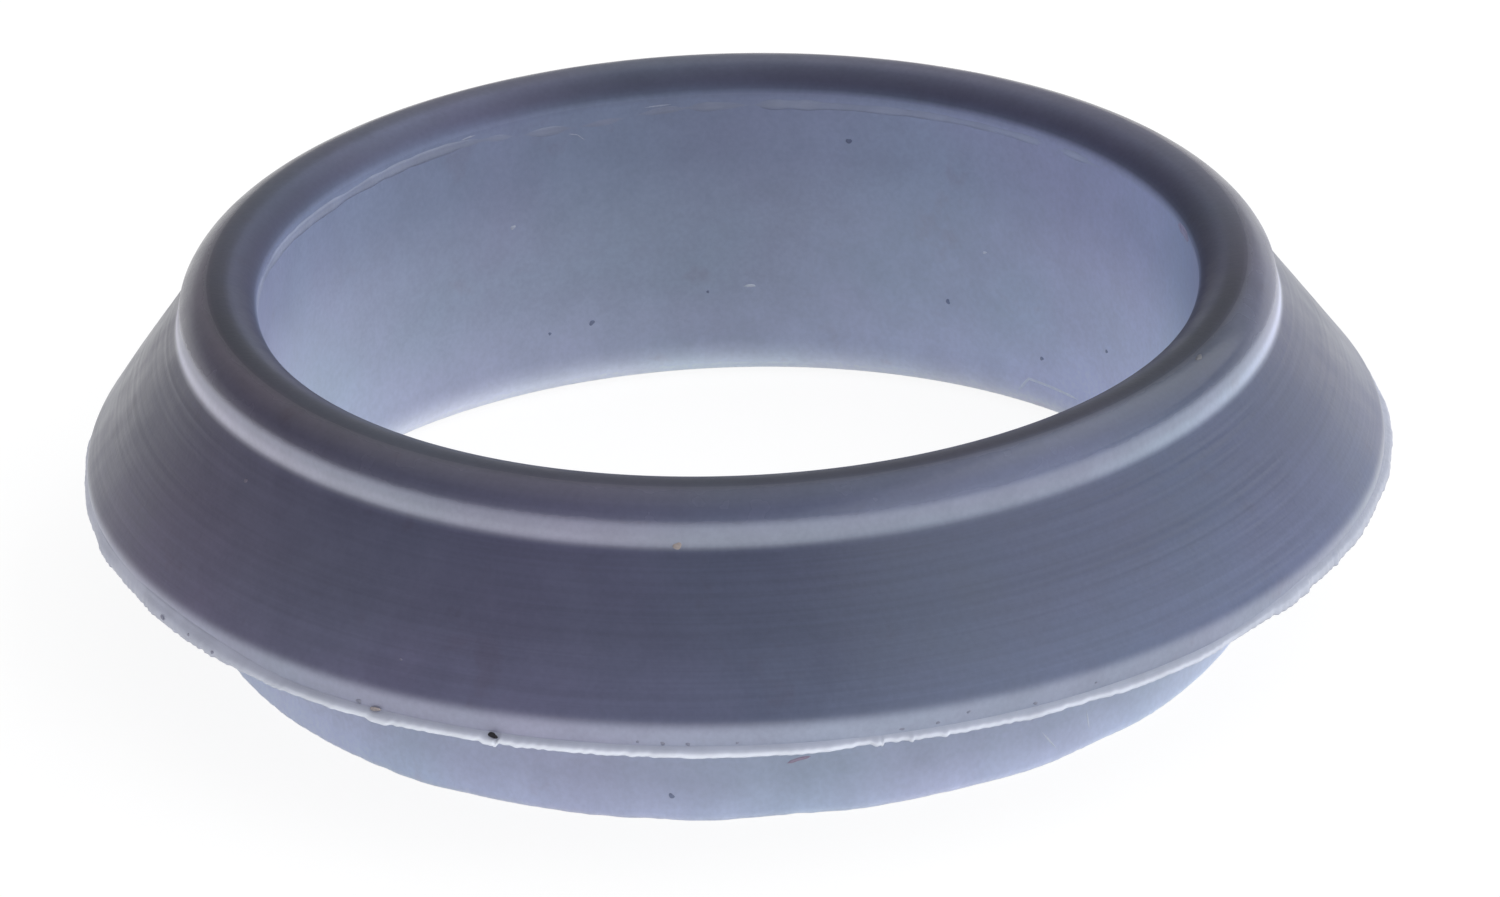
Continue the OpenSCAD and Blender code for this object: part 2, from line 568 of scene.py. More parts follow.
@dataclass(frozen=True)
class RubberFinish:
    """The semi-matt grey-blue rubber skin, with its cloudy pigment, turning marks and fine grain.

    The mesh carries each point's tone, which holds painted light and shade, and its share of turning marks
    and roughness.
    """

    name: str = "rubber_skin"
    ior: float = 1.41
    mirror: float = 0.5
    bloom: float = 0.0
    bloom_roughness: float = 0.3
    gloss: Mottle = Mottle(1.1, 3, (0.25, 0.75), (0.82, 1.18))
    cloud: Mottle = Mottle(0.19, 3)
    stains: Mottle = Mottle(0.75, 4, (0.6, 0.72), (0.0, 0.16), 0.6)
    mottle: Mottle = Mottle(1.1, 5, (0.3, 0.7), (0.955, 1.045), 0.6)
    grain: Mottle = Mottle(9.0, 2, (0.25, 0.75), (0.965, 1.035))
    streaks: Mottle = Mottle(1.0, 3, (0.3, 0.7), (-0.06, 0.06), 0.6)
    # Scale and detail of the noise in the grain's relief and in the turning marks' relief
    grain_relief: Pair = (9.0, 3)
    grain_depth: float = 0.0035
    mark_relief: Pair = (2.3, 2)
    mark_depth: float = 0.002
    mark_pitch: float = 6.0
    violet: Rgb = (139, 136, 140)
    slate: Rgb = (135, 138, 139)
    neutral: Rgb = (137, 137, 137)
    stain: Rgb = (120, 98, 96)

    def material(self) -> bpy.types.Material:
        """Builds the skin's material around the attributes of its mesh.

        Returns:
            The finished material.
        """
        material, board = new_material(self.name)
        millimetres, turned = board.millimetres(), board.carried("turned")
        around = self.around(board, millimetres)
        rough = board.sum("MULTIPLY", board.carried("rough"), board.mottle(millimetres, self.gloss))
        board.surface({
            "Base Color": self.pigment_and_painted_light(board, millimetres, around, turned),
            "Roughness": rough,
            "Normal": self.relief(board, millimetres, around, turned),
            "IOR": self.ior,
            "Specular IOR Level": self.mirror,
            "Sheen Weight": self.bloom,
            "Sheen Roughness": self.bloom_roughness,
        })
        return material

    def around(self, board: NodeBoard, millimetres: Link) -> Link:
        """Coordinates in which a noise runs in long streaks around the ring.

        Args:
            board: The material's nodes.
            millimetres: Object coordinates in millimetres.

        Returns:
            The streaked coordinates.
        """
        axes = board.add("ShaderNodeSeparateXYZ", {0: millimetres}).outputs
        flat = board.add("ShaderNodeCombineXYZ", {0: axes[0], 1: axes[1]}).outputs[0]
        radius = board.add("ShaderNodeVectorMath", {0: flat}, operation="LENGTH").outputs["Value"]
        unit = board.add("ShaderNodeVectorMath", {0: flat}, operation="NORMALIZE").outputs[0]
        sides = board.add("ShaderNodeSeparateXYZ", {0: unit}).outputs
        slant = board.sum("SUBTRACT", radius, axes[2])
        inputs = {0: sides[0], 1: sides[1], 2: board.sum("MULTIPLY", slant, self.mark_pitch)}
        return board.add("ShaderNodeCombineXYZ", inputs).outputs[0]

    def pigment_and_painted_light(self, board: NodeBoard, millimetres: Link, around: Link, turned: Link) -> Link:
        """Varies the zone's tone, which holds painted light and shade, with clouds, stains, mottle, grain and
        turning marks.

        Args:
            board: The material's nodes.
            millimetres: Object coordinates in millimetres.
            around: Streaked coordinates.
            turned: Share of turning marks, 0 to 1.

        Returns:
            The base colour.
        """
        level = 1 / float(linear(self.neutral)[0])
        tints = (self.violet, self.slate, self.stain)
        violet, slate, stain = ((*(linear(tint) * level).tolist(), 1.0) for tint in tints)
        tint = board.blend(board.mottle(millimetres, self.cloud), violet, slate)
        tint = board.blend(board.mottle(millimetres, self.stains), tint, stain)
        clouded = board.blend(1.0, board.carried("tone", "Color"), tint, "MULTIPLY")
        mottle, grain = board.mottle(millimetres, self.mottle), board.mottle(millimetres, self.grain)
        speckled = board.sum("MULTIPLY", mottle, grain)
        streaked = board.sum("ADD", board.sum("MULTIPLY", board.mottle(around, self.streaks), turned), 1.0)
        return board.shaded(clouded, board.sum("MULTIPLY", speckled, streaked))

    def relief(self, board: NodeBoard, millimetres: Link, around: Link, turned: Link) -> Link:
        """Bump of the fine grain, with turning marks over it.

        Args:
            board: The material's nodes.
            millimetres: Object coordinates in millimetres.
            around: Streaked coordinates.
            turned: Share of turning marks, 0 to 1.

        Returns:
            The surface's direction.
        """
        skin = board.bump(board.noise(millimetres, *self.grain_relief), self.grain_depth)
        marks = board.sum("MULTIPLY", board.noise(around, *self.mark_relief), turned)
        return board.bump(marks, self.mark_depth, {"Normal": skin})


@dataclass(frozen=True)
class FlashFinish:
    """The thin rubber that squeezed into the mould's joint. Its mesh carries each point's tone, with painted
    light in it.
    """

    roughness: float = 0.42
    spread: float = 0.1
    ior: float = 1.47
    patches: Mottle = Mottle(1.6, 4, (0.35, 0.65), (0.94, 1.04))
    # Scale and detail of the grain, between which of its values the gloss changes, and its depth
    grain: Pair = (12.0, 3)
    grain_edges: Pair = (0.2, 0.8)
    grain_depth: float = 0.005

    def material(self) -> bpy.types.Material:
        """Builds the flash's material.

        Returns:
            The finished material.
        """
        material, board = new_material("pale_flash")
        millimetres = board.millimetres()
        patch, grain = board.mottle(millimetres, self.patches), board.noise(millimetres, *self.grain)
        swing = (self.roughness - self.spread, self.roughness + self.spread)
        board.surface({
            "Base Color": board.shaded(board.carried("tone", "Color"), patch),
            "Roughness": board.ease(grain, self.grain_edges, swing),
            "Normal": board.bump(grain, self.grain_depth),
            "IOR": self.ior,
        })
        return material


@dataclass(frozen=True)
class MarkFinish:
    """Dirt, a pale crumb, film or a pit painted black as shade: the skin's tone, painted light and shade
    included, with each colour made stronger or weaker.

    Attributes:
        name: Name of the material.
        first: Gain of red, green and blue in one half of its patches.
        second: The same in the other half.
        roughness: How matt it is, from 0 to 1.
        spread: How much more and less matt its patches are.
        patches: Its patches.
        depth: How high they stand in millimetres.
    """

    name: str
    first: Rgb
    second: Rgb
    roughness: float = 0.5
    spread: float = 0.1
    patches: Mottle = Mottle(14.0, 3, (0.35, 0.65))
    depth: float = 0.004

    def material(self) -> bpy.types.Material:
        """Builds the mark's material.

        Returns:
            The finished material.
        """
        material, board = new_material(self.name)
        patch = board.mottle(board.millimetres(), self.patches)
        gain = board.blend(patch, (*self.first, 1.0), (*self.second, 1.0))
        swing = (self.roughness - self.spread, self.roughness + self.spread)
        board.surface({
            "Base Color": board.blend(1.0, board.carried("tone", "Color"), gain, "MULTIPLY"),
            "Roughness": board.ease(patch, (0, 1), swing),
            "Normal": board.bump(patch, self.depth),
        })
        return material


def add_piece(
    name: str, points: np.ndarray, faces: np.ndarray | list, tones: np.ndarray, material: bpy.types.Material
) -> bpy.types.Object:
    """Makes one mesh piece that rides on the gasket.

    Args:
        name: Name of the piece.
        points: Corner points in metres.
        faces: Corner numbers of each face.
        tones: Linear colour of each point.
        material: Its finish.

    Returns:
        The new object.
    """
    mesh = bpy.data.meshes.new(name)
    mesh.from_pydata(points.reshape(-1, 3).tolist(), [], faces if isinstance(faces, list) else faces.tolist())
    mesh.polygons.foreach_set("use_smooth", np.ones(len(mesh.polygons), bool))
    mesh.materials.append(material)
    mesh.update()
    colours = np.ones((len(mesh.vertices), 4), np.float32)
    colours[:, :3] = tones.reshape(-1, 3)
    mesh.attributes.new("tone", "FLOAT_COLOR", "POINT").data.foreach_set("color", colours.ravel())
    piece = bpy.data.objects.new(name, mesh)
    bpy.context.scene.collection.objects.link(piece)
    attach(piece, BODY)
    return piece


def store(piece: bpy.types.Object, name: str, values: np.ndarray) -> None:
    """Stores one number for each point under a name."""
    attribute = piece.data.attributes.new(name, "FLOAT", "POINT")
    attribute.data.foreach_set("value", values.astype(np.float32).ravel())


def ring_faces(steps: int, count: int) -> np.ndarray:
    """Quads of a closed section swept once around the axis.

    Args:
        steps: How many places around the ring.
        count: How many points in the section.

    Returns:
        Four corner numbers for each face, turned outwards.
    """
    i, j = np.meshgrid(np.arange(steps), np.arange(count), indexing="ij")
    following, upper = (i + 1) % steps, (j + 1) % count
    corners = [i * count + j, following * count + j, following * count + upper, i * count + upper]
    return np.stack(corners, -1).reshape(-1, 4)


def sweep(
    name: str, section: list[Row], azimuth: np.ndarray, tones: np.ndarray, material: bpy.types.Material
) -> bpy.types.Object:
    """Sweeps a section whose points move in and out on their way around the ring.

    Args:
        name: Name of the piece.
        section: The section's points.
        azimuth: Angles around the ring in radians.
        tones: Linear colours, azimuth by azimuth.
        material: Its finish.

    Returns:
        The piece.
    """
    around = [[np.broadcast_to(row[k], azimuth.shape) for row in section] for k in (0, 1)]
    points = on_ring(np.stack(around[0], 1), azimuth[:, None], np.stack(around[1], 1))
    return add_piece(name, points, ring_faces(len(azimuth), len(section)), tones, material)


def join(name: str, bodies: Iterable[Body], material: bpy.types.Material) -> bpy.types.Object:
    """Joins small closed bodies into one piece.

    Args:
        name: Name of the piece.
        bodies: The bodies.
        material: Its finish.

    Returns:
        The piece.
    """
    points, faces, tones = [], [], []
    start = 0
    for corners, sides, own in bodies:
        points.append(corners)
        faces += [[start + k for k in side] for side in sides]
        tones.append(own)
        start += len(corners)
    return add_piece(name, np.concatenate(points), faces, np.concatenate(tones), material)


@dataclass(frozen=True)
class Shade:
    """The look of one stretch of the section.

    Attributes:
        along: Display colours with painted light and shade in them, evenly spaced in the order in which the
            outline is walked.
        around: Azimuth in degrees, with the painted light and shade there, as a gain on the stretch's tone.
        roughness: How matt the skin is there, from 0 to 1.
        drift: How much of the painted drift in the light's hue the stretch shows, from 0 to 1.
    """

    along: tuple[Rgb, ...]
    around: Curve = ((-180, 1), (180, 1))
    roughness: float = 0.36
    drift: float = 1.0

    def tint(self, azimuth: np.ndarray) -> np.ndarray:
        """Gain of each colour channel at each angle, which is painted light and shade.

        Args:
            azimuth: Angles in radians.

        Returns:
            One row of red, green and blue for each angle.
        """
        curves = [tuple((row[0], row[channel]) for row in HUE_DRIFT) for channel in (1, 2, 3)]
        hues = [RoundTable(curve, HUE_BLUR).at(azimuth) for curve in curves]
        light = RoundTable(self.around, LIGHT_BLUR).at(azimuth)
        return np.stack([(1 + self.drift * (hue - 1)) * light for hue in hues], -1)

    def tone(self, share: float, azimuth: np.ndarray) -> np.ndarray:
        """Mixes the stretch's tone at one place along it.

        Args:
            share: The place, from 0 at the stretch's start to 1 at its end.
            azimuth: Angles in radians.

        Returns:
            One linear colour for each angle.
        """
        table = np.array([linear(colour) for colour in self.along])
        place = share * (len(table) - 1)
        own = np.array([np.interp(place, np.arange(len(table)), table[:, channel]) for channel in range(3)])
        return own * self.tint(azimuth)

    def spot(self, span: Pair, height: float, azimuth: float) -> np.ndarray:
        """Linear colour at one height of a stretch with the given span, at one angle."""
        share = min(max((height - span[0]) / (span[1] - span[0]), 0), 1)
        return self.tone(share, np.array([azimuth]))[0]


# Painted tint of the light around the ring, warmer at the left and bluer at the right: azimuth in degrees,
# then the gain of red, green and blue
HUE_DRIFT = (
    (-180, 1, 1, 1),
    (-115, 1, 1, 1),
    (-60, 1.09, 1, 1.02),
    (-20, 0.97, 1, 1.08),
    (20, 0.82, 1, 1.11),
    (60, 0.82, 1, 1.14),
    (115, 1, 1, 1),
    (180, 1, 1, 1),
)

# Angles over the visible front at which the outer faces' painted light and shade is given, and where it is
# plain again
FRONT_ANGLES = (-84, -55, -25, 5, 35, 60, 84)
PLAIN_FROM = 114


def front_light(*levels: float) -> Curve:
    """Painted light and shade at each of the front's angles, and plain at the back."""
    return ((-180, 1), (-PLAIN_FROM, 1), *zip(FRONT_ANGLES, levels), (PLAIN_FROM, 1), (180, 1))


# The tones of each stretch carry painted light and shade on the one rubber. The upright lip, neck and collar
# are painted lighter and the upward cone and crown darker. The faces near the floor are painted lighter as
# light from below, and each curve around the ring paints the light of the lamps and their reflections.
LIP_SHADE = Shade(((158, 161, 177),), front_light(1.2, 1.15, 1.05, 1, 0.8, 0.8, 0.85), drift=0.2)

SKIN = {
    # The hidden land is pale like the painted light of the edges beside it
    Zone.LAND: Shade(((210, 216, 228),), drift=0),
    # Painted light from the floor: the collar's lower edge is near white
    Zone.COLLAR_EDGE: Shade(
        along=((240, 246, 255), (214, 224, 244)),
        around=((-180, 1), (-85, 1), (-55, 1.1), (-25, 1.05), (5, 1), (180, 1)),
        drift=0,
    ),
    # Painted light from below: the collar is lighter towards the floor
    Zone.COLLAR: Shade(
        along=((201, 211, 233), (174, 182, 201), (181, 189, 208), (181, 189, 208)),
        around=(
            (-180, 1), (-85, 1), (-55, 1.4), (-25, 1.1), (5, 0.9), (35, 0.85), (55, 0.85), (85, 1), (180, 1)),
        drift=0,
    ),
    Zone.UNDERSIDE: Shade(((124, 130, 150),)),
    Zone.LIP_HEEL: LIP_SHADE,
    Zone.LIP: LIP_SHADE,
    # Painted shade: the upward cone is dark
    Zone.CONE: Shade(
        along=((94, 94, 113), (81, 81, 98), (77, 77, 95)),
        around=front_light(0.95, 1.15, 1, 0.85, 1, 1.05, 1.05),
    ),
    # Painted light: the upright neck and its foot are light
    Zone.NECK_FOOT: Shade(((173, 173, 185),), front_light(1.8, 1.2, 0.85, 0.65, 0.65, 0.85, 1.55), drift=0.6),
    Zone.NECK: Shade(
        along=((151, 151, 164), (150, 151, 165)),
        around=front_light(1.35, 1.3, 0.95, 0.9, 0.8, 0.85, 1),
        drift=0.45,
    ),
    # Painted shade: the upward crown is dark, with painted light around the ring
    Zone.CROWN: Shade(
        along=((93, 92, 108), (79, 78, 95), (86, 84, 96), (88, 85, 95)),
        around=front_light(1, 0.9, 1, 1.05, 1.3, 0.7, 1.15),
        roughness=0.24,
    ),
    # Painted reflection and shade: the crest is lighter at the back and darker at the sides
    Zone.CREST: Shade(
        along=((81, 82, 92), (79, 81, 93)),
        around=((-180, 1.57), (-145, 1.52), (-110, 1.02), (-75, 0.53), (-40, 0.85), (40, 0.72), (75, 0.52),
            (110, 1.39), (145, 1.55), (180, 1.57)),
        roughness=0.4,
        drift=0,
    ),
    # Painted shade: the inner flank is dark, with painted light around the ring
    Zone.CROWN_IN: Shade(
        along=((85, 88, 104), (72, 74, 90), (68, 69, 87), (83, 89, 109)),
        around=((-180, 1.08), (-165, 0.97), (-150, 1.5), (-135, 1.7), (-118, 1.15), (-100, 1.1), (-80, 1),
            (80, 0.9), (100, 0.95), (120, 1.2), (140, 1.08), (165, 0.92), (180, 1.08)),
        roughness=0.45,
        drift=0,
    ),
    # Painted light: the bore is lighter towards the floor and at its sides
    Zone.BORE: Shade(
        along=((135, 143, 169), (142, 150, 174), (161, 169, 191), (170, 180, 200), (188, 197, 218)),
        around=((-180, 0.7), (-140, 0.75), (-110, 0.95), (-80, 1), (80, 1), (110, 1.7), (140, 1.25),
            (180, 0.7)),
        roughness=0.4,
        drift=0.4,
    ),
    # Painted light from the floor: the lead-in is near white
    Zone.LEAD_IN: Shade(((241, 249, 255),), drift=0),
}

# Share of turning marks on each stretch that has any, and the stretches whose edge is worn
TURNED = {Zone.CONE: 1.0, Zone.CROWN: 0.35, Zone.CREST: 0.35}
WORN = (Zone.COLLAR_EDGE, Zone.LIP_HEEL)
# Stretches whose tone turns from a second one's into a third one's: the lip's painted light into the cone's
# painted shade, and the bore into the lead-in's painted light
TURNS = ((Zone.LIP_BROW, Zone.LIP, Zone.CONE), (Zone.LEAD_IN, Zone.BORE, Zone.LEAD_IN))
# Which stretches have the bloomed finish of the cone, and which the dull one of the rim
BLOOMED = (Zone.LIP_HEEL, Zone.LIP, Zone.LIP_BROW, Zone.CONE)
DULL = (Zone.CREST, Zone.CROWN_IN)


@dataclass
class MouldedRing:
    """The gasket's solid body, from its land to its crown."""

    section: RingSection = RingSection()
    finish: RubberFinish = RubberFinish()
    cone_finish: RubberFinish = RubberFinish("rubber_cone", bloom=0.35)
    rim_finish: RubberFinish = RubberFinish("rubber_rim", mirror=0.18)
    steps: int = 500
    # Over which share of the brow the lip's tone turns into the cone's, and of the lead-in the bore's
    brow_turn: Pair = (0.05, 0.73)
    lead_in_turn: float = 0.5
    # How far tones run into each other along the section, in millimetres
    soften: float = 0.055
    # Depth of the turning marks, how much it comes and goes around the ring, and in how many waves
    mark_depth: float = 0.0014
    mark_swing: float = 0.5
    mark_waves: Waves = (1, 5)
    # Depth and count of the slow waves all over, and of the wear on the edges
    wave_depth: float = 0.002
    wave_count: Waves = (2, 5)
    edge_wear: float = 0.008
    wear_count: Waves = (20, 140)
    # How far the collar swells, on how deep a band of its wall, and how its height fades that out
    swell_band: float = 0.2
    swell_top: float = 1.4
    swell_fade: float = 1.2
    collar_swell: RoundTable = RoundTable((
        (-180, 0), (-90, 0), (-64, -0.09), (-50, -0.05), (-42, -0.01), (-35, 0.07), (-30, 0.01),
        (-22, 0.03), (-14, 0.09), (-9, 0.03), (-4, 0.12), (2, -0.02), (6, -0.05), (11, 0.03),
        (19, -0.03), (26, -0.04), (31, 0.0), (36, -0.03), (41, -0.12), (48, -0.06), (56, -0.12),
        (66, -0.14), (90, 0), (180, 0)), 1.6)
    seed: int = 11

    @staticmethod
    def stretch(stations: list[Station], walked: np.ndarray, zone: Zone) -> tuple[list[int], np.ndarray]:
        """Finds the stations of one zone.

        Args:
            stations: The section's outline.
            walked: How far along the outline each station lies.
            zone: The zone.

        Returns:
            The numbers of its stations, and how far along the zone each lies, from 0 to 1.
        """
        members = [k for k, s in enumerate(stations) if s.zone is zone]
        way = walked[members] - walked[members[0]]
        return members, way / way[-1]

    def look(self, stations: list[Station], azimuth: np.ndarray) -> tuple[np.ndarray, np.ndarray]:
        """Gives each point of the skin its tone, with painted light and shade in it, and its roughness.

        Args:
            stations: The section's outline.
            azimuth: Angles around the ring in radians.

        Returns:
            Linear colours and roughness values, azimuth by azimuth.
        """
        line = np.array([[s.radius, s.height] for s in stations])
        walked = np.concatenate([[0], np.cumsum(np.linalg.norm(np.diff(line, axis=0), axis=1))])
        tones = np.zeros((len(azimuth), len(stations), 3))
        rough = np.zeros(len(stations))
        for zone, shade in SKIN.items():
            members, share = self.stretch(stations, walked, zone)
            for k, part in zip(members, share):
                tones[:, k] = shade.tone(part, azimuth)
                rough[k] = shade.roughness
        for zone, before, after in TURNS:
            members, share = self.stretch(stations, walked, zone)
            turn = np.minimum(share / self.lead_in_turn, 1) ** 2
            if zone is Zone.LIP_BROW:
                turn = smooth(share, *self.brow_turn)
            first, last = (SKIN[z].tone(end, azimuth)[:, None] for z, end in ((before, 1.0), (after, 0.0)))
            tones[:, members] = first + (last - first) * turn[None, :, None]
            rough[members] = SKIN[before].roughness
        reach = np.gradient(walked)
        weights = np.exp(-((walked[:, None] - walked[None, :]) / self.soften) ** 2 / 2) * reach[None, :]
        weights /= weights.sum(1, keepdims=True)
        return np.einsum("jk,ikc->ijc", weights, tones), np.tile(weights @ rough, (len(azimuth), 1))

    def unevenness(self, stations: list[Station], azimuth: np.ndarray) -> tuple[np.ndarray, np.ndarray]:
        """Works out how far each point stands off the ideal section.

        Args:
            stations: The section's outline.
            azimuth: Angles around the ring in radians.

        Returns:
            Offsets in millimetres, azimuth by azimuth, and the share of turning marks along the outline.
        """
        rng = np.random.default_rng(self.seed)
        turned = np.array([TURNED.get(s.zone, 0.0) for s in stations])
        worn = np.array([float(s.zone in WORN) for s in stations])
        depth = rng.normal(0, 1, len(stations)) * self.mark_depth * turned
        swell = 1 + self.mark_swing * ring_noise(azimuth, self.mark_waves, self.seed + 1)
        wave = self.wave_depth * ring_noise(azimuth, self.wave_count, self.seed + 2)
        wear = np.abs(ring_noise(azimuth, self.wear_count, self.seed + 3))
        offset = swell[:, None] * depth[None, :] + wave[:, None] - wear[:, None] * worn * self.edge_wear
        offset[:, [k for k, s in enumerate(stations) if s.zone is Zone.LAND]] = 0
        return offset, turned

    def build(self) -> bpy.types.Object:
        """Sweeps the section around the axis with its small unevenness, and dresses it.

        Returns:
            The skin, which stands for the CAD ring.
        """
        stations = self.section.outline()
        azimuth = full_turn(self.steps)
        line = np.array([[s.radius, s.height] for s in stations])
        ahead = np.roll(line, -1, 0) - np.roll(line, 1, 0)
        ahead /= np.linalg.norm(ahead, axis=1)[:, None]
        outward = np.stack([ahead[:, 1], -ahead[:, 0]], 1)
        offset, turned = self.unevenness(stations, azimuth)
        place = line[None, :, :] + offset[:, :, None] * outward[None, :, :]
        collar_r = self.section.collar_r
        wall = (line[:, 0] > collar_r - self.swell_band) & (line[:, 0] <= collar_r)
        swollen = wall * smooth(self.swell_top - line[:, 1], 0.0, self.swell_fade)
        place[..., 0] += self.collar_swell.at(azimuth)[:, None] * swollen
        points = on_ring(place[..., 0], azimuth[:, None], np.maximum(place[..., 1], 0))
        faces = ring_faces(self.steps, len(stations))
        tones, rough = self.look(stations, azimuth)
        piece = add_piece("moulded_ring", points, faces, tones, self.finish.material())
        piece.data.materials.append(self.cone_finish.material())
        piece.data.materials.append(self.rim_finish.material())
        slot = np.array([(s.zone in BLOOMED) + 2 * (s.zone in DULL) for s in stations], np.int32)
        piece.data.polygons.foreach_set("material_index", slot[faces[:, 0] % len(stations)])
        store(piece, "rough", rough)
        store(piece, "turned", np.tile(turned, self.steps))
        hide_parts(CAD_NODE)
        return piece


@dataclass(frozen=True)
class Burr:
    """A place where the flash is torn long or short.

    Attributes:
        azimuth: Its middle in degrees.
        width: Half its width in degrees.
        reach: How much further it stands out, in millimetres.
        droop: How far it hangs down, in millimetres.
        flank: Share of its half width over which it rises.
    """

    azimuth: float
    width: float
    reach: float
    droop: float = 0.0
    flank: float = 0.8

    def shape(self, azimuth: np.ndarray) -> np.ndarray:
        """Share of the burr at each angle, from 0 to 1."""
        away = np.abs(wrapped(degrees_round(azimuth) - self.azimuth))
        return smooth(self.width - away, 0, self.width * self.flank)


@dataclass
class LipFlash:
    """The uneven fin of flash that flares from the lip's lower edge. Sizes are in millimetres."""

    section: RingSection = RingSection()
    finish: FlashFinish = FlashFinish()
    steps: int = 2880
    # How high above its thickness the fin's upper slope ends on the lip
    rise: RoundTable = RoundTable(
        ((-180, 0.2), (-58, 0.24), (-50, 0.2), (-42, 0.05), (45, 0.05), (58, 0.16), (180, 0.2)), 2.0)
    tip_thickness: RoundTable = RoundTable(
        ((-180, 0.18), (-58, 0.18), (-44, 0.07), (45, 0.07), (58, 0.18), (180, 0.18)), 2.0)
    # How far the tip stands out from the lip
    reach: RoundTable = RoundTable((
        (-180, 0.14), (-120, 0.12), (-96, 0.14), (-90, 0.06), (-80, 0.06), (-72, 0.07), (-68.5, 0.06),
        (-64, 0.045), (-60, 0.14), (-54, 0.12), (-51, 0.18), (-48, 0.13), (-40, 0.19), (-24, 0.18),
        (0, 0.2), (7, 0.19), (9.5, 0.12), (12, 0.07), (15, 0.1), (18, 0.15), (30, 0.17), (42, 0.18),
        (46, 0.07), (48.5, 0.06), (51, 0.06), (54, 0.14), (60, 0.05), (63, 0.05), (66, 0.08),
        (72, 0.08), (75, 0.06), (78, 0.12), (84, 0.12), (90, 0.18), (96, 0.19), (120, 0.16),
        (180, 0.14)), 0.8)
    # How far the tip hangs down
    sag: RoundTable = RoundTable(
        ((-180, 0), (-60, 0), (-45, 0.03), (-40, 0.045), (43, 0.045), (47, 0.01), (60, 0), (180, 0)), 2.0)
    # The root's painted lightness against the lip, and how far the tip's tone goes towards pale as painted
    # light
    root_gain: RoundTable = RoundTable(
        ((-180, 1.1), (-58, 1.12), (-44, 1.08), (45, 1.08), (58, 1.02), (180, 1.1)), 2.0)
    paleness: RoundTable = RoundTable((
        (-180, 0.4), (-100, 0.2), (-75, 0.15), (-52, 0.3), (-44, 0.6), (-38, 1), (-20, 1), (-8, 0.92),
        (3, 0.82), (12, 0.62), (42, 0.5), (52, 0.32), (80, 0.22), (100, 0.2), (180, 0.4)), 2.0)
    # The palest tone, and how much the paleness gathers at the tip; the paleness is light painted on the thin
    # fin
    pale: Rgb = (240, 244, 255)
    pale_edge: float = 2.2
    burrs: tuple[Burr, ...] = (
        Burr(-31.7, 1.6, 0.05, 0.03),
        Burr(-21.5, 1.0, 0.03, 0.03),
        Burr(-20.9, 0.25, 0.0, 0.05),
        Burr(10.9, 0.5, 0.04, 0.03),
        Burr(11.4, 0.22, 0.02, 0.06),
        Burr(13.9, 0.3, 0.05, 0.03),
        Burr(16.8, 0.4, 0.03, 0.01),
        Burr(24.0, 0.5, 0.02, 0.01),
        Burr(57.0, 0.8, 0.04, 0.0),
        Burr(63.0, 0.6, 0.04, 0.0),
    )
    # Raggedness of the tip: its depth, the share of its fine part, and its counts of waves
    raggedness: float = 0.008
    fine_share: float = 0.6
    slow_waves: Waves = (12, 60)
    fine_waves: Waves = (90, 500)
    # How unevenly the tip hangs and in which waves, and how far it lifts at most
    droop_noise: float = 0.004
    droop_waves: Waves = (10, 90)
    most_lift: float = 0.02
    # Below which reach the fin fades, and how far it sinks into the lip where it is gone
    fade_reach: float = 0.06
    sink: float = 0.04
    # How deep its root is seated in the lip, and how far the root's corners stand off the lip's
    seat: float = 0.07
    root_gap: float = 0.015
    slope_gap: float = 0.006
    # Share of the reach and paleness of its belly and of its upper edge
    belly: Pair = (0.5, 0.6)
    shoulder: Pair = (0.93, 0.92)
    # Half height of the blunt tip as a share of half the thickness, and the two edges' rounding
    tip_share: float = 0.4
    tip_gap: float = 0.012
    shoulder_gap: float = 0.008
    # The upper slope from the tip to the lip: share of the reach, share of the rise, paleness
    slope: tuple[Triple, ...] = ((0.66, 0.18, 0.66), (0.38, 0.38, 0.42), (0.14, 0.66, 0.18))
    seed: int = 23

    def build(self) -> bpy.types.Object:
        """Builds the fin as one closed strip around the ring.

        Returns:
            The piece.
        """
        azimuth = full_turn(self.steps)
        slow = ring_noise(azimuth, self.slow_waves, self.seed)
        fine = ring_noise(azimuth, self.fine_waves, self.seed + 1)
        reach = self.reach.at(azimuth)
        present = smooth(reach, 0.0, self.fade_reach)
        reach = reach + present * self.raggedness * (slow + self.fine_share * fine)
        droop = ring_noise(azimuth, self.droop_waves, self.seed + 2) + fine
        droop = self.sag.at(azimuth) + present * self.droop_noise * droop
        for burr in self.burrs:
            reach = reach + burr.reach * burr.shape(azimuth)
            droop = droop + burr.droop * burr.shape(azimuth)
        base, low = self.section.lip_r, self.section.lip_bottom_z
        sunk = (1 - present) * self.sink
        half = self.tip_thickness.at(azimuth) / 2
        tip_z = low + half - np.maximum(droop, -self.most_lift)
        top = tip_z + half
        end = low + 2 * half + self.rise.at(azimuth)
        section: list[Row] = [
            (base - self.seat, low + self.root_gap, 0.0),
            (base + self.belly[0] * reach - sunk, low + self.belly[0] * (tip_z - half - low), self.belly[1]),
            (base + reach - self.tip_gap - sunk, tip_z - half, 1.0),
            (base + reach - sunk, tip_z - self.tip_share * half, 1.0),
            (base + reach - sunk, tip_z + self.tip_share * half, 1.0),
            (base + self.shoulder[0] * reach - self.shoulder_gap - sunk, top, self.shoulder[1]),
            *((base + out * reach - sunk, top + up * (end - top), pale) for out, up, pale in self.slope),
            (base - self.slope_gap - sunk, end, 0.0),
            (base - self.seat, end, 0.0),
        ]
        share = np.array([row[2] for row in section]) ** self.pale_edge
